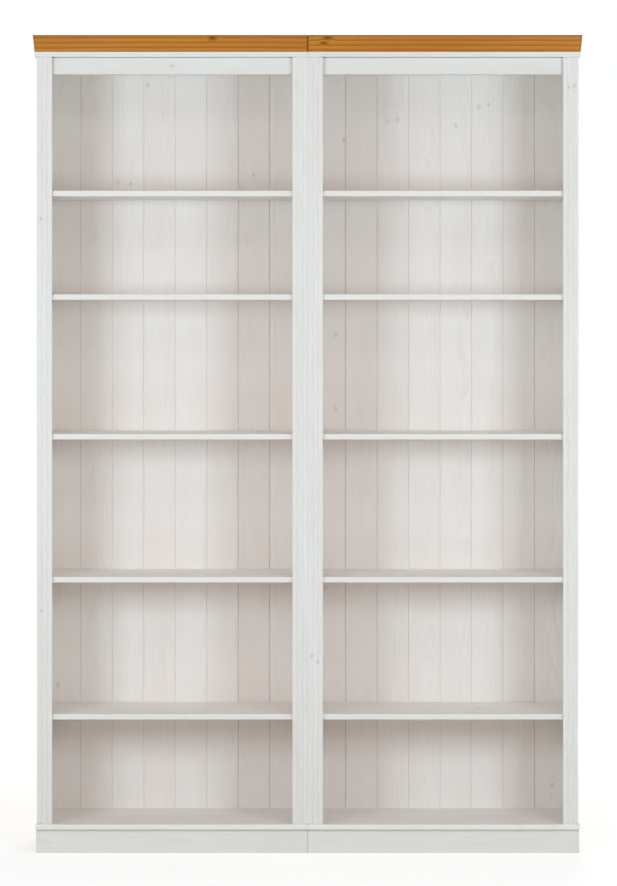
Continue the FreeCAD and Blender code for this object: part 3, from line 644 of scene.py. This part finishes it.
studio = {
    "lampSize": (1.0, 1.0),  # m, width and height of each soft box in front
    "leftLamp": (-2.1, -2.9, 1.55),
    "rightLamp": (2.05, -2.9, 1.55),
    "leftPower": 40,
    "rightPower": 38.3,
    "topSize": (3.0, 0.6),
    "topLamp": (0, -2.9, 3.1),
    "topPower": 9.6,
    "lampColour": "#DAF1FF",
    "aim": (0, 0, 1.15),
    "rearSize": (1.8, 1.2),
    "rearLamp": (0.6, 3.6, 1.9),
    "rearPower": 45,
    "rearColour": "#FFFFFF",
    "fillColour": "#FFDAC9",  # from the room in front
    "sideColour": "#F4EFEC",  # from the sides, the top and behind
    "frontReach": (-0.6, 0.1),  # how far round the front light comes: -1 is ahead, 1 is behind
    "fillStrength": 0.46,
    "floorColour": "#E6E6E4",
    "pulpColour": "#EDEDEB",
    "pulpWidth": 4.545,  # mm
    "floorRoughness": 0.9,
    "floorSpecular": 0.1,
    "floorDrop": 0.3,  # mm, keeps the floor off the undersides that stand on it
    "floorGlow": (0.43, 0.7),  # near and far, lifts the floor to white for the eye alone
    "glowReach": (0.9, 3.0),  # m, where the near glow ends and the far one begins
    "floorReach": 30,  # m
}


def addLamp(name, place, size, power, colour):
    lamp = bpy.data.lights.new(name, "AREA")
    lamp.shape = "RECTANGLE"
    lamp.size, lamp.size_y = size
    lamp.energy = power
    lamp.color = linear(colour)[:3]
    holder = bpy.data.objects.new(name, lamp)
    holder.location = place
    holder.rotation_euler = (Vector(studio["aim"]) - Vector(place)).to_track_quat("-Z", "Y").to_euler()
    bpy.context.scene.collection.objects.link(holder)


def seenDirectly(tree):
    # 1 for what the eye sees, straight or in metal and glass, 0 for light that falls on the object
    path = addNode(tree, "LightPath", {}).outputs
    seen = addNode(tree, "Math", {
        0: path["Is Camera Ray"], 1: path["Is Glossy Ray"],
    }, operation="MAXIMUM").outputs[0]
    return addNode(tree, "Math", {0: seen, 1: path["Is Transmission Ray"]}, operation="MAXIMUM").outputs[0]


def addWorld():
    # White for the eye and for reflections, a plain fill for the rest, warmer from the front
    world = bpy.data.worlds.new("studio")
    world.use_nodes = True
    tree = world.node_tree
    tree.nodes.clear()
    way = addNode(tree, "TexCoord", {}).outputs["Generated"]
    heading = addNode(tree, "SeparateXYZ", {0: way}).outputs[1]
    front, side = studio["frontReach"]
    behind = addNode(tree, "MapRange", {"Value": heading, "From Min": front, "From Max": side}).outputs[0]
    tint = addNode(tree, "Mix", {
        0: behind, 6: linear(studio["fillColour"]), 7: linear(studio["sideColour"]),
    }, data_type="RGBA").outputs[2]
    fill = addNode(tree, "Background", {"Color": tint, "Strength": studio["fillStrength"]}).outputs[0]
    white = addNode(tree, "Background", {"Color": (1, 1, 1, 1), "Strength": 1.0}).outputs[0]
    both = addNode(tree, "MixShader", {0: seenDirectly(tree), 1: fill, 2: white}).outputs[0]
    addNode(tree, "OutputWorld", {"Surface": both})
    bpy.context.scene.world = world


def addFloor():
    # Matt white paper; fine pulp noise keeps it from being one flat colour
    material, tree, shader = newMaterial("white_paper")
    place = addNode(tree, "TexCoord", {}).outputs["Object"]
    pulp = addNode(tree, "TexNoise", {
        "Vector": place, "Scale": 1 / (studio["pulpWidth"] * mm), "Detail": 2.0,
    }).outputs["Fac"]
    colour = addNode(tree, "Mix", {
        0: pulp, 6: linear(studio["floorColour"]), 7: linear(studio["pulpColour"]),
    }, data_type="RGBA").outputs[2]
    tree.links.new(colour, shader.inputs["Base Color"])
    shader.inputs["Roughness"].default_value = studio["floorRoughness"]
    shader.inputs["Specular IOR Level"].default_value = studio["floorSpecular"]
    reach = addNode(tree, "VectorMath", {0: place}, operation="LENGTH").outputs["Value"]
    inner, outer = studio["glowReach"]
    near, far = studio["floorGlow"]
    lift = addNode(tree, "MapRange", {
        "Value": reach, "From Min": inner, "From Max": outer, "To Min": near, "To Max": far,
    }, interpolation_type="SMOOTHSTEP").outputs[0]
    glow = addNode(tree, "Math", {0: seenDirectly(tree), 1: lift}, operation="MULTIPLY").outputs[0]
    shader.inputs["Emission Color"].default_value = (1, 1, 1, 1)
    tree.links.new(glow, shader.inputs["Emission Strength"])
    bm = bmesh.new()
    bmesh.ops.create_grid(bm, x_segments=1, y_segments=1, size=studio["floorReach"])
    bmesh.ops.translate(bm, verts=bm.verts, vec=(0, 0, -studio["floorDrop"] * mm))
    mesh = bpy.data.meshes.new("floor")
    bm.to_mesh(mesh)
    bm.free()
    mesh.materials.append(material)
    floor = bpy.data.objects.new("floor", mesh)
    bpy.context.scene.collection.objects.link(floor)


view = {
    "place": (0.0024, -8.12, 1.4151),
    "sensor": 36,  # mm, height of the picture in the camera
    "lens": 120.66,  # mm
    "shiftUp": -0.1306,  # the picture's middle lies below the camera's height
}


def addCamera():
    camera = bpy.data.cameras.new("camera")
    camera.sensor_width = view["sensor"]
    camera.lens = view["lens"]
    camera.shift_y = view["shiftUp"]
    camera.dof.use_dof = False
    holder = bpy.data.objects.new("camera", camera)
    holder.location = view["place"]
    holder.rotation_euler = (math.radians(90), 0, 0)
    bpy.context.scene.collection.objects.link(holder)
    bpy.context.scene.camera = holder


addLamp("leftLamp", studio["leftLamp"], studio["lampSize"], studio["leftPower"], studio["lampColour"])
addLamp("rightLamp", studio["rightLamp"], studio["lampSize"], studio["rightPower"], studio["lampColour"])
addLamp("topLamp", studio["topLamp"], studio["topSize"], studio["topPower"], studio["lampColour"])
addLamp("rearLamp", studio["rearLamp"], studio["rearSize"], studio["rearPower"], studio["rearColour"])
addWorld()
addFloor()
addCamera()
bpy.context.scene.view_settings.view_transform = "Standard"
print("studio ready")
